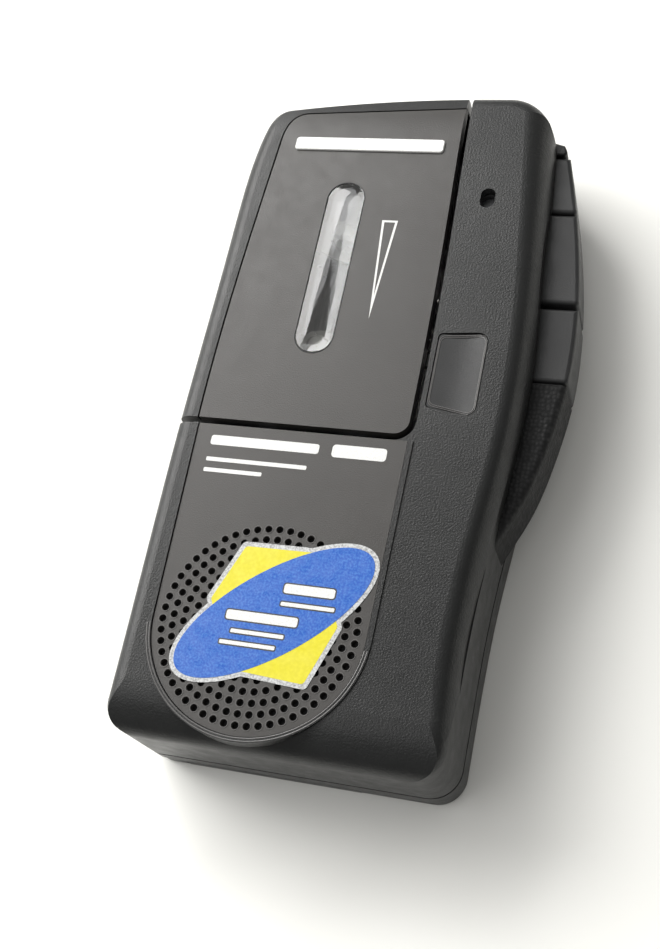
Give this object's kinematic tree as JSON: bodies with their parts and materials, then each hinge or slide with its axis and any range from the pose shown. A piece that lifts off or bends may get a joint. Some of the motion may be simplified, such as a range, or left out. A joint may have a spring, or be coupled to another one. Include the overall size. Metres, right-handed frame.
{
  "type": "handheld voice recorder",
  "caption": "Handheld microcassette voice recorder with a windowed cassette lid, a round speaker grille and push keys along one side.",
  "frame": {"origin": "on the back face, which it lies on, at the middle of the main case's length and width", "axes": "+Z out of the front face, +Y towards the top end, +X towards the side with the keys"},
  "size_m": [0.063, 0.1188, 0.0244],
  "materials": {
    "case_black": "fine spark texture",
    "lid_black": "fine spark texture",
    "inlay_grey": "satin warm grey",
    "key_black": "satin",
    "grip_black": "textured",
    "window_clear": "clear",
    "mark_white": "semi-gloss",
    "label_print": "printed film",
    "steel": "plain",
    "spring_steel": "bright",
    "brass": "turned",
    "black_rubber": "matte",
    "white_plastic": "satin",
    "black_plastic_inner": "matte",
    "board_green": "lacquered",
    "metal_can": "satin",
    "ferrite": "matte",
    "cone_paper": "matte"
  },
  "bodies": {
    "case": {"battery_cells": "metal_can", "battery_contacts": "spring_steel", "battery_springs": "spring_steel", "board_components": "black_plastic_inner", "capstan_bearing": "brass", "case_screws": "steel", "chassis_plate": "steel", "chassis_screws": "steel", "circuit_board": "board_green", "drive_belt": "black_rubber", "dust_screen": "cone_paper", "earphone_jack": "black_plastic_inner", "front_label": "label_print", "front_shell": "case_black", "idler_post": "steel", "key_bracket": "steel", "lid_hinge_pin": "steel", "lid_lift_spring": "spring_steel", "microphone_boot": "black_rubber", "microphone_capsule": "metal_can", "microphone_jack": "black_plastic_inner", "motor": "steel", "play_key_spring": "spring_steel", "power_jack": "black_plastic_inner", "rear_shell": "case_black", "record_key_spring": "spring_steel", "release_spring": "spring_steel", "side_end_cap": "case_black", "side_grip": "grip_black", "speaker_basket": "steel", "speaker_cone": "cone_paper", "speaker_magnet": "ferrite", "speaker_panel": "inlay_grey", "speed_switch_body": "black_plastic_inner", "stop_key_spring": "spring_steel", "volume_control": "black_plastic_inner"},
    "lid": {"lid_frame": "lid_black", "lid_plate": "inlay_grey", "lid_window": "window_clear", "nameplate": "mark_white", "cassette_leaf_spring": "spring_steel"},
    "release_button": {"release_button": "key_black"},
    "latch": {"lid_latch": "steel"},
    "record_key": {"record_key": "key_black"},
    "play_key": {"play_key": "key_black"},
    "stop_key": {"stop_key": "key_black"},
    "carriage": {"head_carriage": "steel", "tape_head": "steel", "erase_head": "black_plastic_inner", "pinch_axle": "steel"},
    "pinch_roller": {"pinch_roller": "black_rubber"},
    "capstan": {"capstan_shaft": "steel", "flywheel": "brass"},
    "motor_pulley": {"motor_pulley": "brass"},
    "idler": {"idler_wheel": "black_rubber"},
    "takeup": {"takeup_spindle": "white_plastic"},
    "supply": {"supply_spindle": "white_plastic"},
    "volume_dial": {"volume_dial": "key_black"},
    "speed_switch": {"speed_switch": "key_black"},
    "battery_door": {"battery_door": "case_black"}
  },
  "joints": [
    {"name": "lid_hinge", "type": "hinge", "parent": "case", "child": "lid", "pos_m": [-0.0258, 0.015, 0.0079], "axis": [0, -1, 0], "range_deg": [0, 75]},
    {"name": "release_press", "type": "slide", "parent": "case", "child": "release_button", "axis": [0, 0, -1], "range_m": [0, 0.0008], "stiffness_N_per_m": 300, "springref_m": -0.001, "deforming": ["release_spring"]},
    {"name": "latch_slide", "type": "slide", "parent": "case", "child": "latch", "axis": [1, 0, 0], "range_m": [0, 0.0008]},
    {"name": "record_key_press", "type": "slide", "parent": "case", "child": "record_key", "axis": [-1, 0, 0], "range_m": [0, 0.0018], "stiffness_N_per_m": 300, "springref_m": -0.001, "deforming": ["record_key_spring"]},
    {"name": "play_key_press", "type": "slide", "parent": "case", "child": "play_key", "axis": [-1, 0, 0], "range_m": [0, 0.0018], "stiffness_N_per_m": 300, "springref_m": -0.001, "deforming": ["play_key_spring"]},
    {"name": "stop_key_press", "type": "slide", "parent": "case", "child": "stop_key", "axis": [-1, 0, 0], "range_m": [0, 0.0018], "stiffness_N_per_m": 300, "springref_m": -0.001, "deforming": ["stop_key_spring"]},
    {"name": "carriage_slide", "type": "slide", "parent": "case", "child": "carriage", "axis": [-1, 0, 0], "range_m": [0, 0.0027]},
    {"name": "pinch_spin", "type": "hinge", "parent": "carriage", "child": "pinch_roller", "pos_m": [0.0134, 0.039, 0.0155], "axis": [0, 0, 1], "continuous": true},
    {"name": "capstan_spin", "type": "hinge", "parent": "case", "child": "capstan", "pos_m": [0.0072, 0.039, 0.01], "axis": [0, 0, 1], "continuous": true},
    {"name": "motor_spin", "type": "hinge", "parent": "case", "child": "motor_pulley", "pos_m": [-0.013, 0.046, 0.006], "axis": [0, 0, 1], "continuous": true},
    {"name": "idler_spin", "type": "hinge", "parent": "case", "child": "idler", "pos_m": [0.00016, 0.03691, 0.009], "axis": [0, 0, 1], "continuous": true},
    {"name": "takeup_spin", "type": "hinge", "parent": "case", "child": "takeup", "pos_m": [-0.0088, 0.03425, 0.012], "axis": [0, 0, 1], "continuous": true},
    {"name": "supply_spin", "type": "hinge", "parent": "case", "child": "supply", "pos_m": [-0.0088, 0.01175, 0.012], "axis": [0, 0, 1], "continuous": true},
    {"name": "volume_turn", "type": "hinge", "parent": "case", "child": "volume_dial", "pos_m": [-0.0206, -0.0172, 0.0178], "axis": [0, 0, 1], "range_deg": [0, 270]},
    {"name": "speed_slide", "type": "slide", "parent": "case", "child": "speed_switch", "axis": [0, 1, 0], "range_m": [0, 0.0034]},
    {"name": "battery_door_slide", "type": "slide", "parent": "case", "child": "battery_door", "axis": [0, -1, 0], "range_m": [0, 0.008]}
  ],
  "couplings": [
    {"joint": "latch_slide", "follows": "release_press", "ratio": 1},
    {"joint": "carriage_slide", "follows": "play_key_press", "ratio": 1.5},
    {"joint": "motor_spin", "follows": "capstan_spin", "ratio": 5.4706},
    {"joint": "idler_spin", "follows": "capstan_spin", "ratio": -0.69043},
    {"joint": "takeup_spin", "follows": "capstan_spin", "ratio": 0.6}
  ]
}
